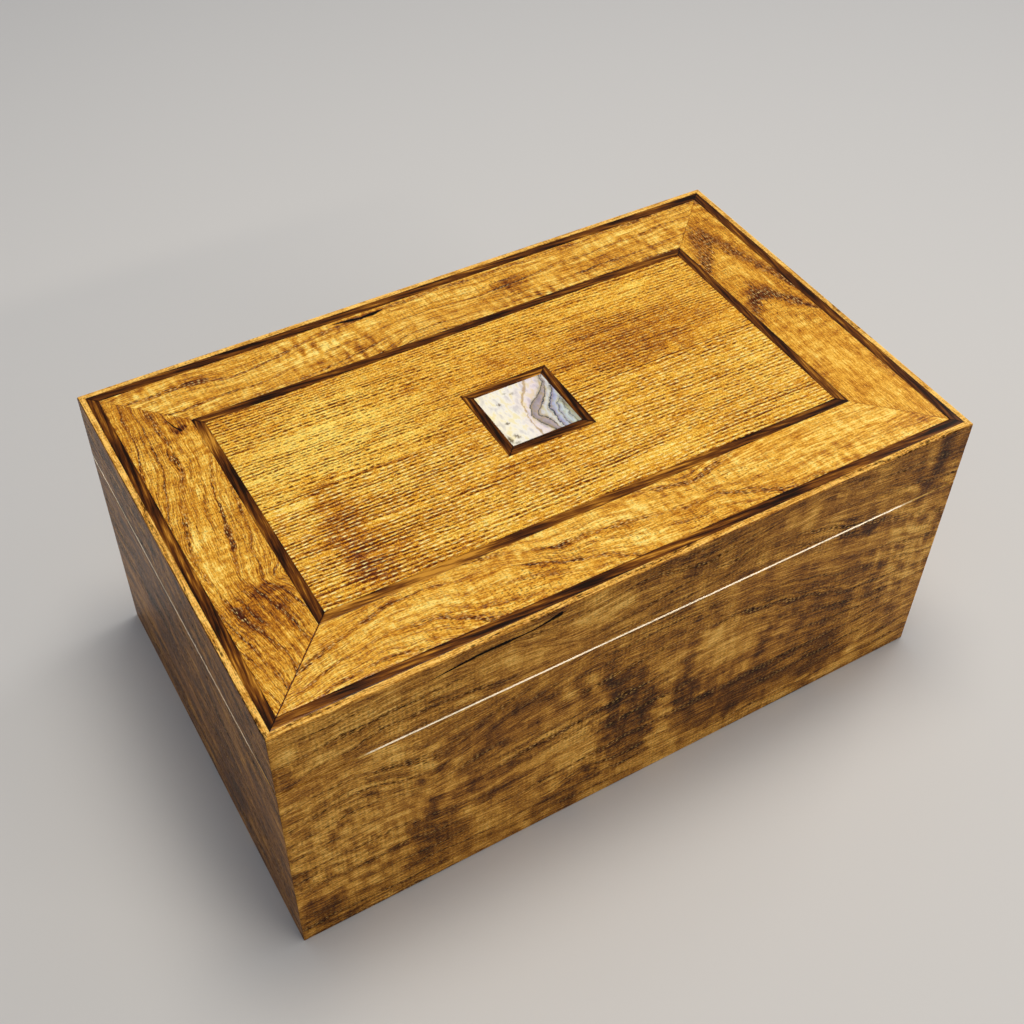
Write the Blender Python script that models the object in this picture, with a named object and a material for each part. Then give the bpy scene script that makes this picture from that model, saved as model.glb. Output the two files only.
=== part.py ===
"""A decorative wooden box with an inlaid, lift-off lid.

Metres, +Z up. The origin is the middle of the underside, X runs along the length and the
front faces -Y. Four mitred boards make the base and four more, sawn from the same boards,
make the lid. The lid's top is a ground panel that carries, from the edge inwards, a dark
stringing, a mitred border, a second stringing, a field of two leaves and a framed square
of shell.
"""

import math

import bmesh
import bpy

# Outside of the closed box
BOX_LENGTH = 0.290
BOX_DEPTH = 0.180
BOX_HEIGHT = 0.130
LID_HEIGHT = 0.031

# Boards of the base and of the lid
WALL = 0.009
FOOT_ARRIS = 0.0005
SEAM_ARRIS = 0.0006
TOP_ARRIS = 0.0004

# Space left between glued faces, and between the lid and the base
GLUE_GAP = 0.0003
LIFT_GAP = 0.0003

# Tongue on top of the base boards, which keeps the lid in place
TONGUE_HEIGHT = 0.005
TONGUE_THICKNESS = 0.0045
TONGUE_LEAD = 0.0006

# Bottom board, held in a groove
BOTTOM_THICKNESS = 0.005
BOTTOM_RISE = 0.003
GROOVE_DEPTH = 0.004

# Lid top, from the edge inwards
RIM_WIDTH = 0.0025
OUTER_STRING_WIDTH = 0.004
BORDER_WIDTH = 0.02675
INNER_STRING_WIDTH = 0.004
INLAY_THICKNESS = 0.002
GROUND_THICKNESS = 0.0055

# Framed shell in the field; it sits a little to the right of the middle
SHELL_SIDE = 0.030
SHELL_FRAME_WIDTH = 0.004
SHELL_SHIFT = 0.0014

# Sides of a mitred frame: name, turn about Z
SIDES = (("front", 0.0), ("right", 0.5 * math.pi), ("back", math.pi), ("left", -0.5 * math.pi))

base_height = BOX_HEIGHT - LID_HEIGHT
inlay_underside = LID_HEIGHT - INLAY_THICKNESS
ground_underside = inlay_underside - GLUE_GAP - GROUND_THICKNESS
shelf_level = ground_underside - GLUE_GAP


def principled(name, colour, roughness, coat):
    """A plain Principled material; colour is linear red, green and blue."""
    material = bpy.data.materials.new(name)
    material.use_nodes = True
    shader = material.node_tree.nodes["Principled BSDF"]
    shader.inputs["Base Color"].default_value = (*colour, 1.0)
    shader.inputs["Roughness"].default_value = roughness
    shader.inputs["Metallic"].default_value = 0.0
    shader.inputs["Coat Weight"].default_value = coat
    material.diffuse_color = (*colour, 1.0)
    return material


def add_empty(name, height):
    """An empty on the middle line, which carries the pieces of the base or of the lid."""
    empty = bpy.data.objects.new(name, None)
    empty.location = (0.0, 0.0, height)
    bpy.context.collection.objects.link(empty)
    return empty


def add_solid(name, mesh, material, parent, location, turn=0.0):
    """Makes an object of a closed bmesh, with its faces pointing out, and places it."""
    bmesh.ops.recalc_face_normals(mesh, faces=mesh.faces)
    data = bpy.data.meshes.new(name)
    mesh.to_mesh(data)
    mesh.free()
    data.materials.append(material)
    solid = bpy.data.objects.new(name, data)
    bpy.context.collection.objects.link(solid)
    solid.parent = parent
    solid.location = location
    solid.rotation_euler.z = turn
    return solid


def extruded_outline(outline, thickness):
    """A plate: the outline of (x, y) points, extruded upwards from the level of its origin."""
    mesh = bmesh.new()
    face = mesh.faces.new([mesh.verts.new((x, y, 0.0)) for x, y in outline])
    top = bmesh.ops.extrude_face_region(mesh, geom=[face])["geom"]
    raised = [item for item in top if isinstance(item, bmesh.types.BMVert)]
    bmesh.ops.translate(mesh, verts=raised, vec=(0.0, 0.0, thickness))
    return mesh


def mitred_board(run, profile):
    """A board with both ends cut at 45 degrees.

    The profile is a list of (inward, up) points. Carried along X, a point lies
    run / 2 - inward from the middle at each end, less half the glue gap of the mitre.
    """
    cut_back = 0.5 * GLUE_GAP * math.sqrt(2.0)
    mesh = bmesh.new()
    end = [mesh.verts.new((run / 2 - inward - cut_back, inward, up)) for inward, up in profile]
    far = bmesh.ops.extrude_face_region(mesh, geom=[mesh.faces.new(end)])["geom"]
    for vertex in far:
        if isinstance(vertex, bmesh.types.BMVert):
            vertex.co.x = -vertex.co.x
    return mesh


def add_mitred_frame(name, length, depth, profile, material, parent, centre=0.0, level=0.0):
    """Four boards round a rectangle, each turned so that its outer face looks outwards."""
    for side, turn in SIDES:
        along_length = side in ("front", "back")
        run = length if along_length else depth
        reach = 0.5 * (depth if along_length else length)
        location = (centre + reach * math.sin(turn), -reach * math.cos(turn), level)
        add_solid(f"{name}_{side}", mitred_board(run, profile), material, parent, location, turn)


def base_wall_profile():
    """Section of a base board: groove for the bottom low inside, tongue on the inner top."""
    shoulder = WALL - TONGUE_THICKNESS
    tongue_top = base_height + TONGUE_HEIGHT
    groove_floor = WALL - GROOVE_DEPTH
    groove_low = BOTTOM_RISE - GLUE_GAP
    groove_high = BOTTOM_RISE + BOTTOM_THICKNESS + GLUE_GAP
    return [
        (FOOT_ARRIS, 0.0),
        (WALL, 0.0),
        (WALL, groove_low),
        (groove_floor, groove_low),
        (groove_floor, groove_high),
        (WALL, groove_high),
        (WALL, tongue_top),
        (shoulder + TONGUE_LEAD, tongue_top),
        (shoulder, tongue_top - TONGUE_LEAD),
        (shoulder, base_height),
        (SEAM_ARRIS, base_height),
        (0.0, base_height - SEAM_ARRIS),
        (0.0, FOOT_ARRIS),
    ]


def lid_wall_profile():
    """Section of a lid board, up from the seam: room for the tongue, shelf for the ground."""
    tongue_room = WALL - TONGUE_THICKNESS - LIFT_GAP
    rebate = RIM_WIDTH - GLUE_GAP / 2
    return [
        (SEAM_ARRIS / 2, LIFT_GAP),
        (tongue_room, LIFT_GAP),
        (tongue_room, TONGUE_HEIGHT + LIFT_GAP),
        (WALL, TONGUE_HEIGHT + LIFT_GAP),
        (WALL, shelf_level),
        (rebate, shelf_level),
        (rebate, LID_HEIGHT),
        (TOP_ARRIS, LID_HEIGHT),
        (0.0, LID_HEIGHT - TOP_ARRIS),
        (0.0, LIFT_GAP + SEAM_ARRIS / 2),
    ]


def strip_profile(width):
    """Section of a flat inlay strip, half a glue gap short of its line on both sides."""
    outer = GLUE_GAP / 2
    inner = width - GLUE_GAP / 2
    return [(outer, 0.0), (inner, 0.0), (inner, INLAY_THICKNESS), (outer, INLAY_THICKNESS)]


def rectangle(length, depth):
    """Corner points of a rectangle about the origin."""
    x, y = length / 2, depth / 2
    return [(-x, -y), (x, -y), (x, y), (-x, y)]


def leaf_outline(length, depth, notch_side, facing):
    """Half of the field, with half of the square notch that takes the framed shell.

    The leaf lies on the +Y side of the joint where facing is 1, on the -Y side where it is -1.
    """
    near = GLUE_GAP / 2
    far = depth / 2 - GLUE_GAP / 2
    end = length / 2 - GLUE_GAP / 2
    notch = notch_side / 2 + GLUE_GAP / 2
    points = [
        (-end, near),
        (SHELL_SHIFT - notch, near),
        (SHELL_SHIFT - notch, notch),
        (SHELL_SHIFT + notch, notch),
        (SHELL_SHIFT + notch, near),
        (end, near),
        (end, far),
        (-end, far),
    ]
    return [(x, facing * y) for x, y in points]


def build_base(ash):
    """The four base boards and the bottom in their groove."""
    base = add_empty("base", 0.0)
    add_mitred_frame("base", BOX_LENGTH, BOX_DEPTH, base_wall_profile(), ash, base)
    margin = 2 * (WALL - GROOVE_DEPTH + GLUE_GAP)
    outline = rectangle(BOX_LENGTH - margin, BOX_DEPTH - margin)
    plate = extruded_outline(outline, BOTTOM_THICKNESS)
    add_solid("base_bottom", plate, ash, base, (0.0, 0.0, BOTTOM_RISE))


def build_lid(ash, stringing, ground, shell):
    """The lid's boards, the ground panel and the inlay on it, from the edge inwards."""
    lid = add_empty("lid", base_height)
    add_mitred_frame("lid", BOX_LENGTH, BOX_DEPTH, lid_wall_profile(), ash, lid)

    length = BOX_LENGTH - 2 * RIM_WIDTH
    depth = BOX_DEPTH - 2 * RIM_WIDTH
    panel = extruded_outline(rectangle(length - GLUE_GAP, depth - GLUE_GAP), GROUND_THICKNESS)
    add_solid("lid_ground", panel, ground, lid, (0.0, 0.0, ground_underside))

    bands = (
        ("outer_stringing", OUTER_STRING_WIDTH, stringing),
        ("border", BORDER_WIDTH, ash),
        ("inner_stringing", INNER_STRING_WIDTH, stringing),
    )
    for name, width, material in bands:
        profile = strip_profile(width)
        add_mitred_frame(name, length, depth, profile, material, lid, level=inlay_underside)
        length -= 2 * width
        depth -= 2 * width

    frame_side = SHELL_SIDE + 2 * SHELL_FRAME_WIDTH
    for name, facing in (("field_front", -1), ("field_back", 1)):
        outline = leaf_outline(length, depth, frame_side, facing)
        leaf = extruded_outline(outline, INLAY_THICKNESS)
        add_solid(name, leaf, ash, lid, (0.0, 0.0, inlay_underside))

    profile = strip_profile(SHELL_FRAME_WIDTH)
    add_mitred_frame(
        "shell_frame", frame_side, frame_side, profile, stringing, lid, SHELL_SHIFT, inlay_underside
    )
    side = SHELL_SIDE - GLUE_GAP
    square = extruded_outline(rectangle(side, side), INLAY_THICKNESS)
    add_solid("shell_inlay", square, shell, lid, (SHELL_SHIFT, 0.0, inlay_underside))


def build_box():
    """Clears the scene and builds the whole box."""
    for old in list(bpy.data.objects):
        bpy.data.objects.remove(old, do_unlink=True)
    ash = principled("golden ash, lacquered", (0.50, 0.23, 0.045), 0.30, 0.6)
    stringing = principled("dark rosewood stringing", (0.07, 0.026, 0.010), 0.35, 0.5)
    ground = principled("birch plywood ground", (0.50, 0.36, 0.20), 0.60, 0.0)
    shell = principled("abalone shell, polished", (0.72, 0.73, 0.70), 0.18, 0.5)
    build_base(ash)
    build_lid(ash, stringing, ground, shell)


build_box()
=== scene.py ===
# %% [markdown]
# # A wooden box with an inlaid lid
#
# The box is a case of mitred ash boards under a gloss lacquer. Its lid lifts off and
# carries an inlay: dark stringing, a figured border, a second stringing, a ribbed field of
# two leaves and a square of shell in a dark frame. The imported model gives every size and
# place. This script keeps those, and makes each piece again as a finer surface with its
# own grain.

# %% Load the frame
import math

import bpy
import numpy as np
from mathutils import Matrix, Quaternion, Vector


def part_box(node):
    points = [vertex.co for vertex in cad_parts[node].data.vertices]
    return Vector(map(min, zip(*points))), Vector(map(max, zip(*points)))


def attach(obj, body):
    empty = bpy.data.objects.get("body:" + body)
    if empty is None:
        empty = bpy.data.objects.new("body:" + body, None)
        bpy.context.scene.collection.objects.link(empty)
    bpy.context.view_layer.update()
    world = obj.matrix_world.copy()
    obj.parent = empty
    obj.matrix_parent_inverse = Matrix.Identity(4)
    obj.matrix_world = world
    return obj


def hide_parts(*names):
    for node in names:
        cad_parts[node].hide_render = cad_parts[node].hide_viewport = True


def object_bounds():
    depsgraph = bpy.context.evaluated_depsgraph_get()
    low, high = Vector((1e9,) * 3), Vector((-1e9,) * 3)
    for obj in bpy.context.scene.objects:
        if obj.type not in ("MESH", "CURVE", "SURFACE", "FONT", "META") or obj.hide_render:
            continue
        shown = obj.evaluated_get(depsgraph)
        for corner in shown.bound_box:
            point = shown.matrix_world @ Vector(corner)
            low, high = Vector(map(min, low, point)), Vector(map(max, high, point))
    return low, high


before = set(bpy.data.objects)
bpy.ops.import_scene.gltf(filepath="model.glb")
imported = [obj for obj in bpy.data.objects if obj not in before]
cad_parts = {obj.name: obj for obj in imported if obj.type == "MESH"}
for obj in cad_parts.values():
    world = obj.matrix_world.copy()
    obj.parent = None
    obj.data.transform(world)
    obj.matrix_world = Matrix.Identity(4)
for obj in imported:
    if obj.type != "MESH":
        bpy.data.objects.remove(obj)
cad_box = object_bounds()
MM = 0.001
print("nodes in the frame:", len(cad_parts))

# %% [markdown]
# ## Sizes
#
# All shape work below is in millimetres. On the lid, the line between two strips lies in
# the middle of the small gap that the solids leave between them, so we measure both
# neighbours and take the middle. Each strip is then made to its full width, because on the
# real lid they are glued tight. Every width counts inwards from the edge of the box.

# %% Sizes from the frame
LOW, HIGH = (np.array(corner) / MM for corner in cad_box)
LENGTH, DEPTH, HEIGHT = HIGH - LOW


def box_mm(node):
    """Lowest and highest corner of a node, in millimetres."""
    low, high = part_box(node)
    return np.array(low) / MM, np.array(high) / MM


def joint_between(outer, inner):
    """How far in from the front edge the joint between two front strips lies."""
    return (box_mm(outer)[1][1] + box_mm(inner)[0][1]) / 2 - LOW[1]


STRING_END = joint_between("outer_stringing_front", "border_front")
BORDER_END = joint_between("border_front", "inner_stringing_front")
FIELD_EDGE = joint_between("inner_stringing_front", "field_front")
GAP = 2 * (BORDER_END - (box_mm("border_front")[1][1] - LOW[1]))
RIM = box_mm("outer_stringing_front")[0][1] - LOW[1] - GAP / 2
INLAY_BOTTOM = box_mm("field_front")[0][2]
WALL = box_mm("lid_front")[1][1] - LOW[1]
SEAM = box_mm("lid_front")[0][2] - GAP
TONGUE_TOP = box_mm("base_front")[1][2]
SHELF = box_mm("lid_ground")[0][2] - GAP
BOTTOM_LOW, BOTTOM_HIGH = box_mm("base_bottom")
FRAME_LOW = box_mm("shell_frame_left")[0]
FRAME_HIGH = box_mm("shell_frame_right")[1]
SHELL_X = (FRAME_HIGH[0] + FRAME_LOW[0]) / 2
FRAME_SIDE = FRAME_HIGH[0] - FRAME_LOW[0] + GAP
SHELL_SIDE = box_mm("shell_inlay")[1][0] - box_mm("shell_inlay")[0][0] + GAP
print(f"box {LENGTH:.1f} x {DEPTH:.1f} x {HEIGHT:.1f} mm, seam {SEAM:.1f}, rim {RIM:.2f}")
print(f"joints on the lid at {STRING_END:.2f}, {BORDER_END:.2f} and {FIELD_EDGE:.2f} mm")
print(f"shell {SHELL_SIDE:.1f} mm in a frame of {FRAME_SIDE:.1f} mm, at X {SHELL_X:.1f}")

# %% [markdown]
# ## The camera
#
# A camera is settled by where it stands, where it looks and how long its lens is. These
# values come from fitting a perspective to the box's corners. The lens is a normal one,
# above and before the near left corner, and the tiny shift is what the fit left over.

# %% Camera
CAMERA_AT = Vector((-0.20801, -0.33759, 0.49094))
LOOKS_ALONG = Vector((0.36252, 0.59466, -0.71761))
CAMERA_UP = Vector((0.35285, 0.62509, 0.69624))

camera_data = bpy.data.cameras.new("camera")
camera_data.lens = 49.486
camera_data.sensor_width = 36.0
camera_data.shift_x = -0.00516
camera_data.shift_y = -0.01437
camera_data.clip_start = 0.01
camera = bpy.data.objects.new("camera", camera_data)
bpy.context.scene.collection.objects.link(camera)
to_right = LOOKS_ALONG.cross(CAMERA_UP).normalized()
to_top = to_right.cross(LOOKS_ALONG).normalized()
turned = Matrix((to_right, to_top, -LOOKS_ALONG)).transposed().to_4x4()
camera.matrix_world = Matrix.Translation(CAMERA_AT) @ turned
bpy.context.scene.camera = camera
print("camera lens:", camera_data.lens)

# %% [markdown]
# ## Colour and nodes
#
# Colours are written as sRGB hex values, as a colour picker shows them, but a shader works
# with linear light. One function turns the first into the second. Another adds a node,
# sets its properties, and fills its sockets with values or with links. Two more give what
# all the finishes need: the numbers that a piece carries, and noise that is stretched along
# its grain.


# %% Helpers for materials
def colour(code):
    """Linear red, green, blue and alpha of an sRGB hex value such as #C88A2C."""
    parts = np.array([int(code[i : i + 2], 16) for i in (1, 3, 5)]) / 255
    linear = np.where(parts <= 0.04045, parts / 12.92, ((parts + 0.055) / 1.055) ** 2.4)
    return (*linear.tolist(), 1.0)


def fill(tree, node, inputs):
    """Fills a node's sockets, given in order or in a dict: links nodes, sets values."""
    for socket, value in inputs.items() if isinstance(inputs, dict) else enumerate(inputs):
        if isinstance(value, bpy.types.Node):
            value = value.outputs[0]
        if isinstance(value, bpy.types.NodeSocket):
            tree.links.new(value, node.inputs[socket])
        else:
            node.inputs[socket].default_value = value


def add(tree, kind, inputs=(), stops=(), **settings):
    """Adds one node of a kind, or of a kind and an operation with a space between.

    inputs fill its sockets, settings are its properties, and stops of a colour ramp are
    (place, hex colour).
    """
    kind, _, operation = kind.partition(" ")
    made = tree.nodes.new("ShaderNode" + kind)
    if operation:
        made.operation = operation
    for name, value in settings.items():
        setattr(made, name, value)
    fill(tree, made, inputs)
    for _ in stops[2:]:
        made.color_ramp.elements.new(0.5)
    for element, (place, code) in zip(made.color_ramp.elements if stops else (), stops):
        element.position = place
        element.color = colour(code)
    return made


def new_material(name):
    """A node material, its tree and its Principled shader."""
    material = bpy.data.materials.new(name)
    material.use_nodes = True
    return material, material.node_tree, material.node_tree.nodes["Principled BSDF"]


def grain_sockets(tree):
    """What each point of a piece carries: its board vector, and its figure in three parts."""
    board = add(tree, "Attribute", attribute_name="board").outputs["Vector"]
    figure = add(tree, "Attribute", attribute_name="figure").outputs["Vector"]
    return board, add(tree, "SeparateXYZ", (figure,)).outputs


def stretched_noise(tree, source, size, detail, distortion=0.0):
    """Noise of grains about size (along, across) mm long, read at a place in millimetres."""
    scale = (1 / size[0], 1 / size[1], 0)
    where = add(tree, "VectorMath MULTIPLY", (source, scale))
    inputs = {"Vector": where, "Scale": 1.0, "Detail": detail, "Distortion": distortion}
    return add(tree, "TexNoise", inputs, noise_dimensions="2D")


print("amber #C88A2C is", [round(part, 3) for part in colour("#C88A2C")])

# %% [markdown]
# ## Floor and light
#
# The floor is a plain pale sheet of paper. The key lamp is a softbox high above the middle
# of the box: it fills the lid with warm light and only grazes the upright faces, which stay
# darker. It stands clear of the place where the lid would mirror it to the camera, because
# there the lacquer would turn white. A lamp on the right puts the shadow on the left, and
# a pale grey room does the rest. The strip lamp in front keeps the front's grain readable,
# and it stands where the planed edge along the seam mirrors it to the camera. A low, weak
# strip behind the left end does the same for the left side's edge.

# %% Floor and lights
FLOOR_SIDE = 30.0
# For each lamp: place and size in metres, power in watts, colour, and the roll about its
# aim in degrees that lays a strip along the edge it lights
LAMPS = {
    "key": ((0.06, 0.06, 1.20), (0.45, 0.45), 8.0, "#FFF4E2", 0.0),
    "side": ((1.10, 0.30, 1.00), (0.5, 0.5), 3.0, "#FFF8EE", 0.0),
    "front strip": ((0.68, -1.25, 0.83), (1.0, 0.06), 5.5, "#FFEFD8", -14.8),
    "left strip": ((-1.40, 1.04, 0.30), (0.7, 0.05), 1.4, "#FFF0D8", 6.0),
}


def lamp(name, place, size, power, tint, roll):
    """A rectangular area lamp that faces the box's lid."""
    data = bpy.data.lights.new(name, "AREA")
    data.shape = "RECTANGLE"
    data.size, data.size_y = size
    data.energy = power
    data.color = colour(tint)[:3]
    made = bpy.data.objects.new(name, data)
    bpy.context.scene.collection.objects.link(made)
    made.location = place
    aim = Vector((0, 0, HEIGHT * MM)) - Vector(place)
    rolled = Quaternion((0, 0, 1), math.radians(roll))
    made.rotation_euler = (aim.to_track_quat("-Z", "Y") @ rolled).to_euler()


def pale_floor():
    """A large square sheet of pale matte paper, level with the underside of the box."""
    half = FLOOR_SIDE / 2
    mesh = bpy.data.meshes.new("floor")
    corners = [(-half, -half, 0), (half, -half, 0), (half, half, 0), (-half, half, 0)]
    mesh.from_pydata(corners, [], [(0, 1, 2, 3)])
    floor = bpy.data.objects.new("floor", mesh)
    bpy.context.scene.collection.objects.link(floor)
    material, tree, shader = new_material("pale_paper_floor")
    paper = {"Base Color": colour("#D2D4D8"), "Roughness": 0.95, "Specular IOR Level": 0.1}
    fill(tree, shader, paper)
    mesh.materials.append(material)
    return floor


pale_floor()
for name, values in LAMPS.items():
    lamp(name, *values)
world = bpy.data.worlds.new("studio")
world.use_nodes = True
room = {"Color": colour("#DDE2EA"), "Strength": 0.35}
fill(world.node_tree, world.node_tree.nodes["Background"], room)
bpy.context.scene.world = world
bpy.context.scene.view_settings.view_transform = "Standard"
print("lamps:", list(LAMPS))

# %% [markdown]
# ## Wood as numbers
#
# Wood is a stack of growth rings. Where a board's face cuts them we see lines, and between
# two lines the ring number rises by one. So each point of a board's mesh carries where it
# is on the board, along and across the grain in millimetres, and the number of its ring.
# The material then opens pores only in the early part of each ring, as ash does.
#
# The ring lines are drawn through a few points, as one would sketch them on paper. Soft
# random waves bend them a little, because nothing in a tree is straight.


# %% Helpers for grain
MARK = 30.0
GLUE_FADE = 0.4


def waves(along, across, seed, length, stretch=3.0, count=12):
    """A smooth random field, mostly between -1 and 1.

    It is a sum of cosine waves in random directions, each about length mm long across the
    grain and stretch times longer along it, divided by its usual size.
    """
    draw = np.random.default_rng(seed)
    total = np.zeros(np.shape(along))
    for _ in range(count):
        turn, phase = draw.uniform(0, 2 * np.pi, 2)
        size = length * draw.uniform(0.6, 1.7)
        path = along * np.cos(turn) / stretch + across * np.sin(turn)
        total += np.cos(2 * np.pi * path / size + phase)
    return total / math.sqrt(count / 2) / 1.5


def ring_number(lines, along, across, blur=3.0):
    """Ring number at each point, from ring lines that are given from the lowest up.

    A line gives its across at some along, {along: across}. Its points are joined straight
    and then smoothed by a bell of blur mm. Between two lines the number rises evenly by
    one; beyond the first and the last it goes on at the same rate.
    """
    reach = np.arange(along.min() - 30, along.max() + 30, 0.5)
    offsets = np.arange(-3 * blur, 3 * blur + 0.1, 0.5)
    bell = np.exp(-((offsets / blur) ** 2))
    levels = []
    for line in lines:
        points = np.array(sorted(line.items()), float)
        drawn = np.interp(reach, points[:, 0], points[:, 1])
        padded = np.pad(drawn, len(offsets) // 2, mode="edge")
        smooth = np.convolve(padded, bell / bell.sum(), mode="valid")
        levels.append(np.interp(along, reach, smooth[: len(reach)]))
    levels = np.maximum.accumulate(np.array(levels), axis=0)
    steps = np.maximum(np.diff(levels, axis=0), 0.8)
    rise = np.clip((across - levels[:-1]) / steps, 0, 1).sum(axis=0)
    below = np.minimum(across - levels[0], 0) / np.maximum(steps[0], 4.0)
    above = np.maximum(across - levels[-1], 0) / np.maximum(steps[-1], 4.0)
    return rise + below + above


def patches(along, across, marks, seed=0, warp=0.0):
    """Light and dark patches: the sum of soft ellipses.

    A mark is (along, across, half length, half width, turn in degrees, amount), and fades
    by exp(-r ** 3), where r is the distance from its middle in half sizes. Random waves
    first move each point by about warp mm, so that the edges are ragged.
    """
    if warp:
        moved = warp * waves(along, across, seed, 4 * warp, 2.0)
        across = across + warp * waves(across, along, seed + 1, 3 * warp, 1.5)
        along = along + moved
    total = np.zeros(np.shape(along))
    for x, y, half_length, half_width, turn, amount in marks:
        c, s = math.cos(math.radians(turn)), math.sin(math.radians(turn))
        u = ((along - x) * c + (across - y) * s) / half_length
        v = ((across - y) * c - (along - x) * s) / half_width
        total += amount * np.exp(-((u**2 + v**2) ** 1.5))
    return total


def streak(along, across, points):
    """How far a point is from a dark streak, in half widths, from -20 to 20, plus MARK.

    The streak runs through (along, across, half width) points, and is nothing beyond its
    ends. Adding MARK keeps 0 for boards without a streak.
    """
    points = np.array(points, float)
    half = np.interp(along, points[:, 0], points[:, 2], left=0.0, right=0.0) + 1e-3
    middle = np.interp(along, points[:, 0], points[:, 1])
    return np.clip((across - middle) / half, -20, 20) + MARK


def near_mitre(along, inward, run, strengths):
    """Dark glue line at the mitres, of two strengths, that fades out over GLUE_FADE mm."""
    away = run / 2 - inward - np.abs(along)
    return np.where(along < 0, *strengths) * np.clip(1.25 * (1 - away / GLUE_FADE), 0, 1)


print("helpers for grain: a wave at the middle is", round(float(waves(0.0, 0.0, 1, 5.0)), 3))

# %% [markdown]
# ## Meshes from arrays
#
# A board with mitred ends is a section carried along a line. Each point of the section
# travels from one end to the other, and stops short of the corner by exactly as much as it
# lies inwards. The points are worked out as one array with a row for each step along the
# board, neighbouring rows make the faces, and the two ends are closed.
#
# A flat leaf is a grid of points. Its outline runs along grid lines, so the same numbers
# give the top, the edges that go down, and the underside.


# %% Helpers for meshes
# Millimetres: half the line between glued pieces, and where a board has extra steps before
# its mitre, for the rounded corner and the glue line
JOINT = 0.05
EXTRA_STEPS = np.array([0.40, 0.26, 0.13, 0.05])
SHARP = math.radians(35)


def make_mesh(name, points, quads, caps, material, attributes):
    """Puts arrays into a mesh object: points in mm, quads, larger faces and attributes."""
    corners = np.concatenate([quads.ravel(), *caps]).astype(np.int32)
    counts = np.concatenate([np.full(len(quads), 4), [len(cap) for cap in caps]])
    starts = np.concatenate([[0], np.cumsum(counts)[:-1]]).astype(np.int32)
    mesh = bpy.data.meshes.new(name)
    mesh.vertices.add(len(points))
    mesh.vertices.foreach_set("co", (points * MM).astype(np.float32).ravel())
    mesh.loops.add(len(corners))
    mesh.loops.foreach_set("vertex_index", corners)
    mesh.polygons.add(len(counts))
    mesh.polygons.foreach_set("loop_start", starts)
    mesh.update(calc_edges=True)
    for label, values in attributes.items():
        layer = mesh.attributes.new(label, "FLOAT_VECTOR", "POINT")
        layer.data.foreach_set("vector", values.astype(np.float32).ravel())
    mesh.materials.append(material)
    mesh.shade_smooth()
    mesh.set_sharp_from_angle(angle=SHARP)
    piece = bpy.data.objects.new(name, mesh)
    bpy.context.scene.collection.objects.link(piece)
    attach(piece, "root")
    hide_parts(name)
    triangles = int((counts - 2).sum())
    print(f"{name}: {triangles} triangles")
    return piece


def divided(section):
    """Points of a closed section. Each row is (inward, up, parts of the edge after it)."""
    rows = np.array(section, float)
    ends = np.roll(rows[:, :2], -1, axis=0)
    runs = []
    for (inward, up, parts), end in zip(rows, ends):
        shares = np.arange(int(parts))[:, None] / parts
        runs.append(np.array([[inward, up]]) * (1 - shares) + end * shares)
    return np.concatenate(runs)


SIDES = {"front": 0.0, "right": 0.5 * math.pi, "back": math.pi, "left": -0.5 * math.pi}
NUMBER = {side: number for number, side in enumerate(SIDES)}
BOX = (LENGTH, DEPTH)


def run_of(side, size=BOX):
    """Outer length of the board on one side of a rectangle of size (length, depth)."""
    return size[NUMBER[side] % 2]


def as_rows(values):
    """Each attribute's three parts as one array with a row for each point."""
    return {
        label: np.stack(np.broadcast_arrays(*parts), -1).reshape(-1, 3)
        for label, parts in values.items()
    }


def mitred_board(name, side, section, step, finish, size=BOX, centre=0.0, corner=0.0):
    """A mitred board on one side of a rectangle of size (length, depth).

    x = share * (run / 2 - inward), y = inward and z = up, for shares from -1 to 1, and then
    turned about Z to its side. The outer face bends inwards near the ends by a quarter
    circle of radius corner, as a sanded edge does. finish is (material, grain), and grain
    gives the attributes at (along, inward, up).
    """
    run, reach = run_of(side, size), size[1 - NUMBER[side] % 2] / 2
    points = divided(section)
    inward, up = points[None, :, 0], points[None, :, 1]
    near = 1 - EXTRA_STEPS * 2 / run
    shares = np.sort(np.concatenate([np.linspace(-1, 1, round(run / step) + 1), near, -near]))
    if corner:
        end = run / 2 * (1 - np.abs(shares[:, None])) + (1 - math.sqrt(0.5)) * corner
        dip = corner - np.sqrt(corner**2 - np.clip(corner - end, 0, corner) ** 2)
        inward = inward + dip * np.clip(1 - inward / 2, 0, 1)
    inward = inward + np.zeros((len(shares), 1))
    up = up + np.zeros_like(inward)
    along = shares[:, None] * (run / 2 - inward - JOINT * 0.7)
    material, grain = finish
    attributes = as_rows(grain(along, inward, up))
    turn, out = SIDES[side], inward - reach
    x = along * math.cos(turn) - out * math.sin(turn) + centre
    y = along * math.sin(turn) + out * math.cos(turn)

    count = len(points)
    ring = np.arange(count)
    start = np.arange(len(shares) - 1)[:, None] * count
    here, after = start + ring, start + np.roll(ring, -1)
    quads = np.stack([here, here + count, after + count, after], -1).reshape(-1, 4)
    caps = [ring, (len(shares) - 1) * count + ring[::-1]]
    following = np.roll(points, -1, axis=0)
    if np.sum(points[:, 0] * following[:, 1] - following[:, 0] * points[:, 1]) > 0:
        quads, caps = quads[:, ::-1], [cap[::-1] for cap in caps]
    places = np.stack([x, y, up], -1).reshape(-1, 3)
    return make_mesh(name, places, quads, caps, material, attributes)


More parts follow.
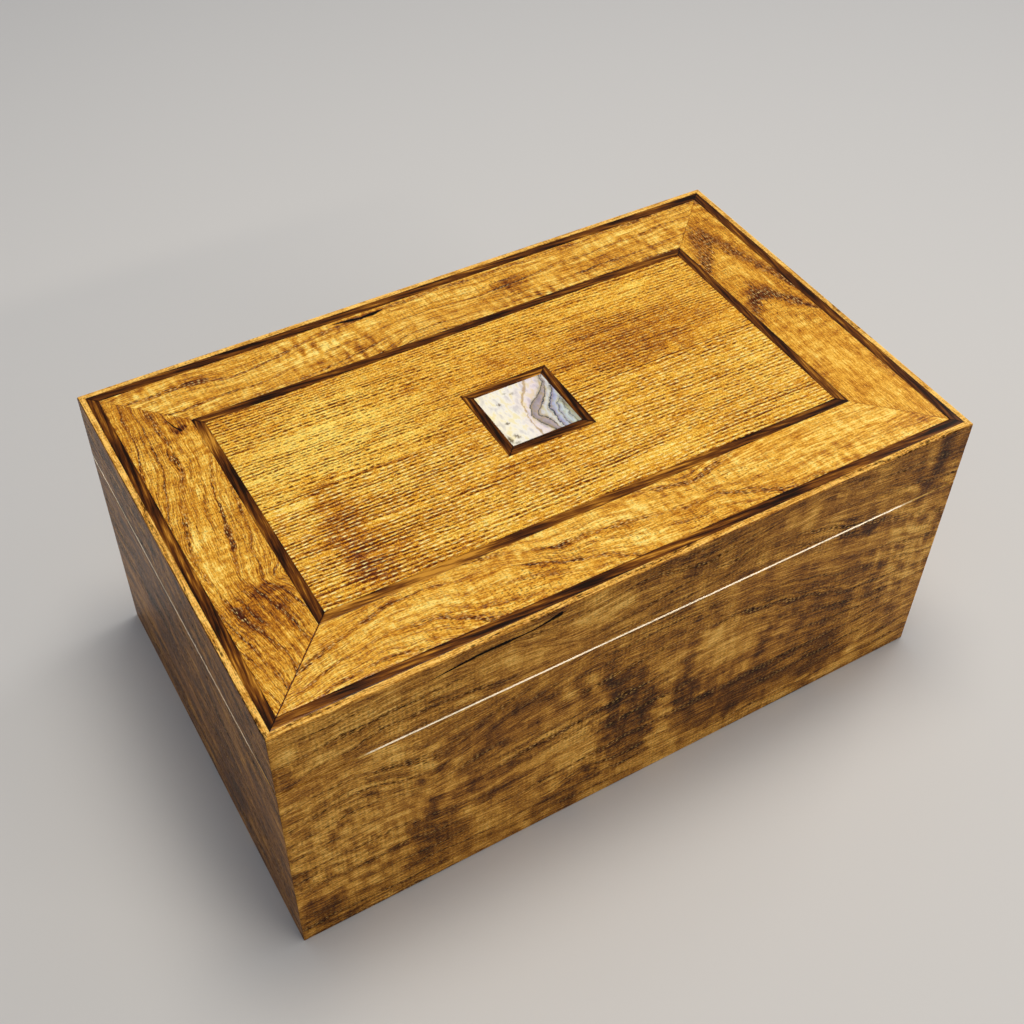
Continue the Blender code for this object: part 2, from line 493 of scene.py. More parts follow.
def leaf(name, xs, ys, corners, cut, finish, facing=1, relief=None):
    """A flat plate over the grid xs by ys, mirrored in Y where facing is -1.

    corners are (column, row) numbers of its outline, anticlockwise. Cells whose number is
    in the block of columns and rows given by cut are left out. relief says by how much the
    top is lower at (x, y, z).
    """
    columns, rows = np.meshgrid(np.arange(len(xs)), np.arange(len(ys)), indexing="ij")
    x, y = xs[columns], facing * ys[rows]
    top = np.full(x.shape, HEIGHT)
    material, grain = finish
    values = as_rows(grain(x, y, top))
    if relief:
        top = top - relief(x, y, top)
    number = columns * len(ys) + rows
    kept = np.ones((len(xs) - 1, len(ys) - 1), bool)
    if cut:
        kept[cut[0] : cut[1], cut[2] : cut[3]] = False
    cells = [number[:-1, :-1], number[1:, :-1], number[1:, 1:], number[:-1, 1:]]
    quads = np.stack([cell[kept] for cell in cells], -1)

    path = []
    for start, end in zip(corners, corners[1:] + corners[:1]):
        steps = max(abs(end[0] - start[0]), abs(end[1] - start[1]))
        column, row = np.linspace(start, end, steps, False).round().astype(int).T
        path.append(number[column, row])
    path = np.concatenate(path)
    points = np.stack([x, y, top], -1).reshape(-1, 3)
    feet = points[path] * (1, 1, 0) + (0, 0, INLAY_BOTTOM)
    low = len(points) + np.arange(len(path))
    walls = np.stack([path, low, np.roll(low, -1), np.roll(path, -1)], -1)
    points = np.concatenate([points, feet])
    values = {label: np.concatenate([value, value[path]]) for label, value in values.items()}
    quads, under = np.concatenate([quads, walls]), low[::-1]
    if facing < 0:
        quads, under = quads[:, ::-1], under[::-1]

    used = np.zeros(len(points), bool)
    used[quads.ravel()] = True
    renumber = np.cumsum(used) - 1
    values = {label: value[used] for label, value in values.items()}
    return make_mesh(name, points[used], renumber[quads], [renumber[under]], material, values)


print("half of the line that shows between glued pieces:", JOINT, "mm")

# %% [markdown]
# ## Lacquered ash
#
# Ash is ring-porous. In spring the tree grows a band of wide vessels, and a board's face
# cuts them into short dark dashes along the grain; the summer wood between the bands is
# smooth. The stain sits deep in the dashes, and a gloss lacquer sinks a little into each,
# so it has a dark floor and a bright edge where it catches the light; that bright edge is
# painted into the colour as a highlight beside each dash. Slow waves in the fibres make the
# ripple of light and shade across a figured board.
#
# The shader follows that order: fibres, ripple and cloud give the tone of the wood, the
# ring number says where the pores are, and a Voronoi pattern of stretched cells gives each
# pore its place. A real vessel is 0.3 mm wide, which is one pixel here, so the dashes are
# drawn about half as wide again.


# %% Ash material
# A ring counts as this many millimetres where streaks follow the rings. From the first shade
# on, and wholly from the second, an edge is painted pale cream as a highlight, and its
# lacquer is thick and smooth
RING_MM = 9.0
HIGHLIGHT_SHADE = (1.2, 1.5)


def lacquered_ash(
    name, tones, glint, pore_mm, rows, early, ripple, glint_strength, minor, stain, fibre, gloss, arched=False
):
    """Stained ash under lacquer: satin wood, dark open pores and a clear glossy coat.

    tones are (place, hex) stops from dark to light, and glint is the colour of the highlights
    painted as bright dashes beside pores, of strength glint_strength. pore_mm is the length
    and width of the cell around a pore; with rows above 0 there are that many rows of cells to
    a ring. early is the share of a ring that has pores, stain how much darker it is, and minor
    the strength of weaker pores in the thirds of a ring. ripple is (length, width, strength),
    fibre how strong the fibres are, and gloss (base, coat) how much the wood and the lacquer
    mirror. Where the shade is above HIGHLIGHT_SHADE, the planed edge along the seam is painted
    pale cream as a highlight, and the coat is thick and smooth on it. arched is for a leaf whose
    ring lines cross it as arches while its fibres run straight.
    """
    material, tree, shader = new_material(name)
    board, (shade, pored, mark) = grain_sockets(tree)
    along, _, ring = add(tree, "SeparateXYZ", (board,)).outputs

    # Stretched noise: fibres, ripple, clouds, grit and the wobble of a ring line. Where the
    # rings wander, the streaks follow them and the fibres lean halfway to them
    straight = rows > 0 or arched
    following = leaning = board
    if not straight:
        ringed = add(tree, "Math MULTIPLY", (ring, RING_MM))
        following = add(tree, "CombineXYZ", (along, ringed))
        leaning = add(tree, "VectorMath ADD", (board, following))
        leaning = add(tree, "VectorMath MULTIPLY", (leaning, (0.5, 0.5, 0)))
    fields = {}
    for label, source, size, detail in (
        ("fibre", leaning, (5.0, 0.42) if straight else (9.0, 0.45), 2.0),
        ("streaks", following, (20.0, 1.6) if straight else (45.0, 1.3), 3.0),
        ("ripple", board, ripple, 2.0),
        ("cloud", board, (15.0, 6.0), 4.0),
        ("wobble", board, (5.0, 0.9), 1.0),
        ("grit", board, (0.55, 0.75) if rows else (0.9, 0.5), 1.0),
    ):
        noise = stretched_noise(tree, source, size, detail, distortion=0.4)
        fields[label] = add(tree, "Math SUBTRACT", (noise, 0.5))

    # Early wood: pores from the ring line on, thinning out, and weaker ones in its thirds
    moved = add(tree, "Math MULTIPLY_ADD", (fields["wobble"], 0.8 * early, ring))
    phase = add(tree, "Math FRACT", (moved,))
    rise = add(tree, "MapRange", (phase, 0.0, early * 0.15))
    fall = add(tree, "MapRange", (phase, early * 0.8, early * 1.5, 1.0, 0.0))
    band = add(tree, "Math MULTIPLY", (rise, fall))
    if not rows:
        fade = add(tree, "MapRange", (fields["cloud"], -0.14, 0.04, 0.5, 1.0))
        band = add(tree, "Math MULTIPLY", (band, fade))
    third = add(tree, "Math MULTIPLY", (moved, 3.0))
    third = add(tree, "Math FRACT", (third,))
    third = add(tree, "MapRange", (third, 0.15, 0.5, minor, 0.0))
    band = add(tree, "Math MAXIMUM", (band, third))
    open_wood = add(tree, "Math MULTIPLY", (band, pored))

    # Cells of one pore each: big ones for the band, small ones everywhere, and bright ones
    # beside the pores, where a highlight is painted as a glint. In a rowed leaf each row is
    # shifted by the golden ratio, so that no two rows line up
    length, width = pore_mm
    if rows:
        counted = add(tree, "Math MULTIPLY", (moved, rows))
        row = add(tree, "Math FLOOR", (counted,))
        shift = add(tree, "Math MULTIPLY", (row, 0.618))
        stretched = add(tree, "Math MULTIPLY_ADD", (along, 1 / length, shift))
        cells = add(tree, "CombineXYZ", (stretched, counted))
        beside = ((0.8, 1.0, 0.0), (0.06, 0.0, 0.0), 0.12, 0.42, 0.05)
    else:
        scale = (1 / length, 1 / width, 0)
        cells = add(tree, "VectorMath MULTIPLY", (leaning, scale))
        beside = ((1.6, 1.3, 0.0), (0.06, 0.42, 0.0), 0.12, 0.42, 0.15)
    dashes = {}
    for label, scale, shift, inner, outer, rare in (
        ("big", (1.0, 1.0, 0.0), (0.0, 0.0, 0.0), 0.24, 0.45, 0.0),
        ("lit", *beside),
        ("small", (1.9, 1.9, 0.0), (7.3, 3.1, 0.0), 0.14, 0.36, 0.35),
    ):
        where = add(tree, "VectorMath MULTIPLY_ADD", (cells, scale, shift))
        inputs = {"Vector": where, "Scale": 1.0, "Randomness": 0.75}
        cell = add(tree, "TexVoronoi", inputs, voronoi_dimensions="2D")
        near = add(tree, "MapRange", (cell.outputs["Distance"], inner, outer, 1.0, 0.0))
        chance = add(tree, "SeparateColor", (cell.outputs["Color"],))
        strength = add(tree, "MapRange", (chance, rare, rare + 0.4))
        dashes[label] = add(tree, "Math MULTIPLY", (near, strength))
    big = add(tree, "Math MULTIPLY", (dashes["big"], band))
    small = add(tree, "Math MULTIPLY", (dashes["small"], 0.45 if rows else 0.7))
    both = add(tree, "Math MAXIMUM", (big, small))
    pore = add(tree, "Math MULTIPLY", (both, pored), use_clamp=True)
    # Where the painted glints lie: with the pores, or in a rowed leaf along the late wood of each row
    glint_band = open_wood
    if rows:
        swell = add(tree, "MapRange", (phase, 0.42, 0.52))
        ebb = add(tree, "MapRange", (phase, 0.92, 1.0, 1.0, 0.0))
        glint_band = add(tree, "Math MULTIPLY", (swell, ebb))
    # The bright edge beside a pore: a painted highlight in the colour, and a small lip in the bump
    edge = add(tree, "Math MULTIPLY", (dashes["lit"], glint_band))
    edge = add(tree, "Math MULTIPLY", (edge, glint_strength), use_clamp=True)

    # Tone: the board's own shade, then each field, then darker early and late wood
    tone = shade
    coarse, fine = (0.36, 0.9) if rows else (0.42, 0.5)
    amounts = {"ripple": ripple[2], "cloud": 0.35, "streaks": coarse, "fibre": fibre, "grit": fine}
    for field, amount in amounts.items():
        tone = add(tree, "Math MULTIPLY_ADD", (fields[field], amount, tone))
    late = add(tree, "MapRange", (phase, 0.85, 1.0, 0.0, -0.05 if straight else -0.16))
    tone = add(tree, "Math MULTIPLY_ADD", (open_wood, -stain, tone))
    tone = add(tree, "Math ADD", (tone, late))
    wood = add(tree, "ValToRGB", {"Fac": tone}, stops=tones)
    dark = add(tree, "Math MULTIPLY", (pore, 0.92))
    # The pale cream of the seam edge is a painted highlight
    painted_highlight = add(tree, "MapRange", (shade, *HIGHLIGHT_SHADE))

    # A black streak or crack lies where the mark is near MARK
    away = add(tree, "Math SUBTRACT", (mark, MARK))
    away = add(tree, "Math MULTIPLY_ADD", (fields["grit"], 0.9, away))
    away = add(tree, "Math ABSOLUTE", (away,))
    crack = add(tree, "MapRange", (away, 0.7, 1.3, 1.0, 0.0))
    # The glint and the pale cream of the seam edge are painted highlights; the pore and crack colours are
    # the wood's own
    coats = ((edge, glint), (dark, tones[0][1]), (painted_highlight, "#FFECC0"), (crack, "#0B0603"))
    for share, code in coats:
        wood = add(tree, "Mix", {0: share, 6: wood, 7: colour(code)}, data_type="RGBA").outputs[2]

    # The lacquer sinks into pores and cracks, and is duller there
    deep = add(tree, "Math MAXIMUM", (pore, crack))
    full = add(tree, "Math MULTIPLY_ADD", (deep, -1.0, 1.0))
    level = add(tree, "Math MULTIPLY_ADD", (edge, 0.5, full))
    level = add(tree, "Math MULTIPLY_ADD", (fields["fibre"], 0.25, level))
    calm = add(tree, "MapRange", (shade, *HIGHLIGHT_SHADE, 0.7, 0.0))
    bump = add(tree, "Bump", {"Strength": calm, "Distance": 0.2 * MM, "Height": level})
    thick = add(tree, "MapRange", (shade, *HIGHLIGHT_SHADE, gloss[1], 1.0))
    looks = {
        "Base Color": wood,
        "Roughness": add(tree, "MapRange", (deep, 0.0, 1.0, 0.36, 0.6)),
        "Normal": bump,
        "Specular IOR Level": gloss[0],
        "Coat Weight": add(tree, "Math MULTIPLY", (thick, full)),
        "Coat Roughness": 0.14,
        "Coat Normal": bump,
    }
    fill(tree, shader, looks)
    return material


# The glint colour of each finish is a painted highlight laid beside its pores
FIELD = {
    "tones": ((0.0, "#541C00"), (0.25, "#904E08"), (0.5, "#CC8616"), (0.75, "#F0B636"), (1.0, "#FFE674")),
    "pore_mm": (2.8, 1.0),
    "rows": 2,
    "early": 0.5,
    "ripple": (16.0, 5.0, 0.2),
    "minor": 0.0,
    "gloss": (0.08, 0.3),
}
BORDER = {
    "tones": ((0.0, "#421400"), (0.25, "#8C4C0A"), (0.5, "#C8861E"), (0.75, "#F0B944"), (1.0, "#FFE682")),
    "glint": "#FFE294",
    "rows": 0,
    "ripple": (3.2, 9.0, 0.35),
    "gloss": (0.08, 0.3),
}
WALL_TONES = ((0.0, "#241000"), (0.25, "#5E330A"), (0.5, "#A66C20"), (0.75, "#DEA444"), (1.0, "#FFD070"))
back_ash = lacquered_ash("field_back_ash", glint="#FFEC90", glint_strength=0.5, stain=0.18, fibre=0.75, **FIELD)
front_ash = lacquered_ash("field_front_ash", glint="#FFF0A0", glint_strength=1.0, stain=0.24, fibre=0.6, **FIELD)
border_ash = lacquered_ash(
    "border_ash", pore_mm=(3.0, 0.65), early=0.15, glint_strength=0.65, minor=0.35, stain=0.32, fibre=1.0, **BORDER
)
arched_ash = lacquered_ash(
    "border_arched_ash", pore_mm=(3.4, 0.7), early=0.25, glint_strength=0.5, minor=0.1, stain=0.20, fibre=0.8,
    arched=True, **BORDER
)
wall_ash = lacquered_ash(
    "wall_ash", WALL_TONES, "#FFC86C", pore_mm=(3.2, 0.6), rows=0, early=0.15, ripple=(4.0, 12.0, 0.25),
    glint_strength=0.7, minor=0.4, stain=0.20, fibre=0.85, gloss=(0.04, 0.10),
)
finishes = (back_ash, front_ash, border_ash, arched_ash, wall_ash)
print("ash finishes:", [item.name for item in finishes])

# %% [markdown]
# ## Rosewood stringing
#
# The thin dark strips are rosewood: red-brown, with long tapering black streaks that cross
# the strip at a slight slant. It is dense, so the pores are few and fine, and it takes the
# same lacquer.


# %% Rosewood material
def rosewood(name):
    """Dark rosewood under lacquer: long black streaks over brown, drawn from the board."""
    material, tree, shader = new_material(name)
    board, (shade, _, _) = grain_sockets(tree)
    slanted = add(tree, "Mapping", {"Vector": board, "Rotation": (0, 0, math.radians(5))})
    streaks = stretched_noise(tree, slanted, (22, 1.3), 3.0)
    fibres = stretched_noise(tree, slanted, (5, 0.3), 2.0)
    tone = add(tree, "Math MULTIPLY_ADD", (fibres, 0.35, streaks))
    tone = add(tree, "Math ADD", (tone, shade))
    stops = ((0.47, "#1A0A00"), (0.62, "#462206"), (0.78, "#6C3C0C"), (0.92, "#A06A20"), (1.0, "#C88E32"))
    looks = {
        "Base Color": add(tree, "ValToRGB", {"Fac": tone}, stops=stops),
        "Roughness": add(tree, "MapRange", (fibres, 0.3, 0.7, 0.42, 0.32)),
        "Normal": add(tree, "Bump", {"Strength": 0.5, "Distance": 0.1 * MM, "Height": fibres}),
        "Specular IOR Level": 0.06,
        "Coat Weight": 0.14,
        "Coat Roughness": 0.15,
    }
    fill(tree, shader, looks)
    return material


stringing_rosewood = rosewood("rosewood_stringing_lacquered")
print("stringing finish:", stringing_rosewood.name)

# %% [markdown]
# ## The walls
#
# The lid was sawn off the closed case, so a lid board and the base board under it are one
# board, and the figure runs on across the seam. Each pair therefore shares one grain
# function. The board's height counts on over the top edge, so the pores reach the rim.
#
# Every side has its own ring lines and patches, with along and height in millimetres as
# seen from outside. The back and right boards are plainer.

# %% Grain of the walls
WALL_RINGS = {
    "front": [
        {-145: 8, 0: 6, 145: 9},
        {-145: 16, -40: 13, -22: 14, 0: 13, 145: 17},
        {-145: 24, -100: 22, -40: 19, -24: 24, -10: 19, 60: 22, 145: 26},
        {-145: 32, -102: 32, -60: 27, -20: 30, 40: 32, 145: 34},
        {-145: 45, -102: 45, -70: 38, -30: 42, 10: 46, 60: 50, 90: 44, 145: 40},
        {-145: 56, -110: 57, -70: 52, -30: 56, 10: 62, 50: 66, 80: 56, 110: 48, 145: 46},
        {-145: 66, -118: 68, -88: 62, -50: 70, -10: 76, 40: 78, 76: 68, 100: 58, 145: 52},
        {-145: 73, -118: 80, -88: 69, -52: 85, -24: 91, 20: 91, 48: 88, 76: 80, 94: 72, 145: 60},
        {-145: 86, -118: 88, -88: 76, -52: 92, -24: 98, 20: 98, 48: 95, 76: 88, 100: 80, 145: 68},
        {-145: 101, -124: 104, -104: 109, -82: 108, -58: 103, -24: 103, 20: 103, 40: 107, 48: 111,
         64: 110, 82: 105, 96: 98, 120: 90, 145: 80},
        {-145: 112, -80: 116, -56: 119, -40: 111, -30: 106, 0: 108, 12: 112, 24: 113, 32: 111,
         44: 114, 70: 116, 100: 112, 145: 104},
        {-145: 122, -80: 125, -40: 120, -10: 124, 0: 124, 12: 120, 24: 117, 76: 127, 92: 122,
         112: 120, 145: 116},
        {-145: 131, -40: 130, 40: 132, 92: 131, 145: 128},
    ],
    "left": [
        {-90: 10, 0: 14, 90: 9},
        {-90: 24, -20: 30, 40: 26, 90: 20},
        {-90: 36, -30: 46, 30: 44, 90: 32},
        {-90: 50, -30: 62, 20: 60, 90: 45},
        {-90: 63, -30: 77, 20: 75, 90: 58},
        {-90: 76, -20: 92, 30: 88, 90: 70},
        {-90: 90, -20: 104, 30: 101, 90: 84},
        {-90: 104, -10: 117, 40: 113, 90: 98},
        {-90: 119, 0: 129, 90: 112},
        {-90: 134, 90: 128},
    ],
    "right": [
        {-90: 6 + 9 * n, -20: 9 + 9.4 * n, 40: 5 + 9.2 * n, 90: 8 + 9 * n} for n in range(15)
    ],
    "back": [
        {-145: 5 + 10 * n, -60: 9 + 10 * n, 30: 3 + 10.4 * n, 145: 8 + 10 * n} for n in range(14)
    ],
}
WALL_PATCHES = {
    "front": [
        (-4, 46, 13, 30, 8, -0.26), (23, 46, 5, 26, 4, -0.2), (48, 23, 22, 13, 0, -0.26),
        (93, 20, 11, 13, 0, -0.24), (-89, 36, 9, 25, -8, -0.2), (-61, 77, 14, 9, 0, -0.2),
        (-70, 50, 10, 12, 30, -0.12), (-136, 12, 8, 12, 0, -0.2), (20, 128, 60, 6, 0, -0.1),
        (140, 122, 14, 8, 0, -0.22), (100, 95, 10, 6, 0, -0.14), (-30, 14, 10, 8, 0, -0.14),
        (129, 68, 12, 28, 12, 0.13), (-29, 43, 9, 14, 10, 0.22), (11, 24, 6, 20, 0, 0.2),
        (-112, 118, 34, 12, 0, 0.1), (-20, 122, 14, 10, 0, 0.14), (-58, 113, 12, 7, 0, 0.12),
        (-84, 52, 5, 12, -10, 0.14), (34, 62, 26, 12, 0, 0.12), (-120, 60, 30, 34, 0, 0.1),
        (64, 5, 50, 4, 0, 0.12), (80, 70, 40, 14, -10, -0.06), (-60, 20, 24, 5, 0, 0.08),
        (8, 8, 10, 6, 0, 0.1), (97, 51, 6, 1.1, 0, -0.45), (101, 94, 7, 1.0, -6, -0.4),
        (-22, 19, 3, 2, 0, -0.4), (-13, 20, 2, 15, 0, 0.14), (76, 42, 26, 20, 0, -0.11),
        (18, 84, 16, 3, -4, -0.1), (-104, 92, 16, 5, 0, 0.08),
    ],
    "left": [
        (-30, 60, 22, 30, 10, -0.12), (30, 30, 14, 24, 0, -0.12), (50, 90, 16, 14, 0, 0.1),
        (-60, 30, 14, 20, 0, 0.1),
    ],
    "right": [(10, 50, 18, 30, 0, -0.12), (-40, 80, 16, 20, 0, 0.08)],
    "back": [(-50, 50, 22, 30, 0, -0.12), (60, 70, 26, 24, 0, -0.1), (10, 40, 16, 30, 0, 0.1)],
}
WALL_STREAKS = {
    "front": [
        (-90, 122.6, 0.1), (-80, 123.8, 0.5), (-70, 124.9, 0.75), (-60, 125.0, 0.8),
        (-54, 124.9, 0.4), (-49, 125.1, 0.35), (-44, 125.9, 0.6), (-40, 127.0, 1.15),
        (-37.6, 127.4, 0.9), (-37, 127.5, 0.1),
    ],
}
SEAM_ARRIS = 0.42
RIPPLED = {
    "front": [
        (-115, 52, 34, 40, 0, 0.2), (128, 68, 18, 32, 12, 0.26), (0, 44, 60, 34, 0, 0.1),
        (80, 60, 30, 20, 0, 0.06),
    ],
    "left": [(0, 110, 80, 14, 0, 0.08)],
    "right": [(0, 60, 60, 40, 0, 0.08)],
    "back": [(0, 60, 100, 40, 0, 0.08)],
}
# How much lighter the seam edge is painted on each side, as (along points, amounts): a painted highlight
# that turns pale cream where it is strongest and fades where the lamp no longer mirrors in the edge
SEAM_HIGHLIGHT = {
    "front": ((-120, -108, 107, 137), (0, 1.2, 1.2, 0.3)),
    "left": ((-90, 66, 88), (1.2, 1.2, 0.3)),
    "right": ((-90, 90), (0.6, 0.6)),
    "back": ((-145, 145), (0.6, 0.6)),
}
# For each side: its plain shade, the share of its patches, and the strength of its bands
# The left side's plain shade is the lowest: painted shade on the side turned away from the lamps
WALL_LOOKS = {
    "front": (0.56, 1.0, 0.11),
    "left": (0.38, 0.6, 0.05),
    "right": (0.53, 1.0, 0.08),
    "back": (0.53, 1.0, 0.08),
}
# Each board reads its noise this far from the one before it, so no two look the same
NEXT_BOARD = 400.0


def wall_grain(side):
    """Attributes of a wall: board (along, height over the edge, ring) and figure.

    The figure is (shade, pores, mark of a streak). Its shade is the side's plain shade, with
    patches, bands across the grain and curls. The rim is painted lighter, as the light from
    above falls on it, and the planed edge along the seam is painted as a bright highlight.
    """
    plain, blotched, banded = WALL_LOOKS[side]

    def grain(along, inward, up):
        height = up + inward
        seed = 11 + NUMBER[side]
        bent = height + 0.8 * waves(along, height, seed, 9.0)
        ring = ring_number(WALL_RINGS[side], along, bent)
        blots = blotched * patches(along, height, WALL_PATCHES[side], seed + 50, 2.2)
        blots = blots + 0.05 * waves(along, ring * RING_MM, seed + 60, 6.0, 4.0)
        shade = plain + 0.32 * np.tanh(blots / 0.18)
        wandering = along + 3 * waves(along, height, seed + 9, 25.0)
        bands = waves(height, wandering, seed + 20, 8.0, 6.0)
        shade = shade + banded * bands * (0.5 + 0.5 * waves(along, height, seed + 30, 40.0))
        curls = waves(height - 0.3 * along, along + 0.4 * height, seed + 21, 5.0, 2.5)
        shade = shade + curls * patches(along, height, RIPPLED[side])
        shade = np.minimum(shade, 0.76 + 0.2 * np.tanh(shade - 0.76))
        # The rim on top of the board is painted lighter, as the light from above falls on it
        rim = (inward > 0.2) & (inward < RIM) & (up > HEIGHT - 0.5)
        shade = np.where(rim, 0.88 + 0.10 * waves(along, inward, seed, 4.0), shade)
        # The planed edge along the seam is painted lighter, as a highlight
        near_seam = (up > SEAM - SEAM_ARRIS - 0.05) & (up < SEAM + 0.1)
        painted_highlight = near_seam & (inward < SEAM_ARRIS + 0.03)
        shade = np.where(painted_highlight, shade + np.interp(along, *SEAM_HIGHLIGHT[side]), shade)
        pored = 0.9 + 0.5 * waves(along, height, seed + 40, 30.0) + 0.1 * rim
        mark = streak(along, height, WALL_STREAKS[side]) if side in WALL_STREAKS else 0.0
        board = (along + NEXT_BOARD * NUMBER[side], height, ring)
        return {"board": board, "figure": (shade, pored, mark)}

    return grain


print("ring lines on the front:", len(WALL_RINGS["front"]))

# %% [markdown]
# ## Base boards
#
# Each base board has a groove for the bottom low on its inner face, and a thin tongue on
# top that the lid slips over. The outer edge at the seam is planed off by about 0.4 mm,
# and this small slope catches the light as a bright line, which is also painted pale cream
# as a highlight.

# %% Base boards
TONGUE = 4.5
FOOT_ARRIS = 0.5
WALL_STEP = 1.3
CORNER_RADIUS = 0.4
GROOVE = BOTTOM_LOW[0] - LOW[0] - GAP
shoulder = WALL - TONGUE
base_section = [
    (FOOT_ARRIS, 0.0, 2),
    (WALL, 0.0, 1),
    (WALL, BOTTOM_LOW[2] - GAP, 1),
    (GROOVE, BOTTOM_LOW[2] - GAP, 1),
    (GROOVE, BOTTOM_HIGH[2] + GAP, 1),
    (WALL, BOTTOM_HIGH[2] + GAP, 12),
    (WALL, TONGUE_TOP, 1),
    (shoulder + 0.6, TONGUE_TOP, 1),
    (shoulder, TONGUE_TOP - 0.6, 1),
    (shoulder, SEAM, 2),
    (SEAM_ARRIS + 0.06, SEAM, 1),
    (SEAM_ARRIS, SEAM, 1),
    (0.0, SEAM - SEAM_ARRIS, 1),
    (0.0, SEAM - SEAM_ARRIS - 0.08, 76),
    (0.0, FOOT_ARRIS, 1),
]


def wall_boards(label, section):
    """The four mitred boards of the base or of the lid."""
    for side in SIDES:
        finish = (wall_ash, wall_grain(side))
        name = f"{label}_{side}"
        board = mitred_board(name, side, section, WALL_STEP, finish, corner=CORNER_RADIUS)


wall_boards("base", base_section)

# %% [markdown]
# ## Lid boards
#
# A lid board has room for the tongue inside, and higher up a rebate that carries the
# ground panel. What is left above the rebate is thin, and its top is the rim round the lid,
# painted lighter than the board's faces as the light from above falls on it.

# %% Lid boards
TOP_ARRIS = 0.4
tongue_room = shoulder - GAP
lid_section = [
    (SEAM_ARRIS / 2, SEAM + GAP, 1),
    (tongue_room, SEAM + GAP, 1),
    (tongue_room, TONGUE_TOP + GAP, 1),
    (WALL, TONGUE_TOP + GAP, 4),
    (WALL, SHELF, 1),
    (RIM - JOINT, SHELF, 2),
    (RIM - JOINT, HEIGHT, 5),
    (TOP_ARRIS, HEIGHT, 2),
    (0.0, HEIGHT - TOP_ARRIS, 24),
    (0.0, SEAM + GAP + SEAM_ARRIS / 2, 1),
]
wall_boards("lid", lid_section)

# %% [markdown]
# ## Stringing
#
# Two lines of rosewood run round the lid, inside and outside the border. They are glued
# flush, so they are plain strips, but lacquer shrinks a little into each joint, and so the
# long edges are a few hundredths of a millimetre low.

# %% Stringing strips
EDGE_DIP = 0.06
DIP_WIDTH = 0.25


def strip_section(outer, inner, parts):
    """Section of a flat strip from outer to inner, with slightly sunk long edges."""
    a, b = outer + JOINT, inner - JOINT
    return [
        (a, INLAY_BOTTOM, 1),
        (b, INLAY_BOTTOM, 2),
        (b, HEIGHT - EDGE_DIP, 1),
        (b - DIP_WIDTH, HEIGHT, parts),
        (a + DIP_WIDTH, HEIGHT, 1),
        (a, HEIGHT - EDGE_DIP, 2),
    ]


def strip_grain(seed, run, light=()):
    """Attributes of a strip: its own piece of a long board, with lighter patches if any.

    run is the outer length of its frame, which places the dark glue line at the mitres.
    """

    def grain(along, inward, up):
        shade = 0.10 * waves(along, inward, seed, 14.0, 3.0) + patches(along, inward, light) - 0.01
        shade = shade + near_mitre(along, inward, run, (-0.3, -0.3))
        return {"board": (along + 350.0 * seed, inward + up, 0.0), "figure": (shade, 1.0, 0.0)}

    return grain


# Lighter patches on the front strips: on the inner strip they are a painted sheen, where the lacquer
# reflects the light; the outer strip is lighter near its left end
LIGHT_STRIP = {
    ("inner", "front"): [(-82, 35, 40, 30, 0, 0.24), (20, 35, 40, 30, 0, 0.1)],
    ("outer", "front"): [(-125, 5, 20, 30, 0, 0.10)],
}
for side in SIDES:
    for label, outer, inner in (("outer", RIM, STRING_END), ("inner", BORDER_END, FIELD_EDGE)):
        seed = 2 * NUMBER[side] + (label == "inner")
        light = LIGHT_STRIP.get((label, side), ())
        finish = (stringing_rosewood, strip_grain(seed, run_of(side), light))
        section = strip_section(outer, inner, parts=8)
        strip = mitred_board(f"{label}_stringing_{side}", side, section, 1.2, finish)

# %% [markdown]
# ## Border
#
# The border leaves are flat-sawn: the saw met the rings at a low angle, so they show as
# long arches with smooth wood between. The front leaf has four such lines, the right leaf
# two sharp chevrons and fainter ones, and the left one a small knot and a dark blotch. A
# line gives, along the leaf, its distance from the lid's edge in millimetres. The chevrons
# of the right leaf cross it, so there the two numbers change places.

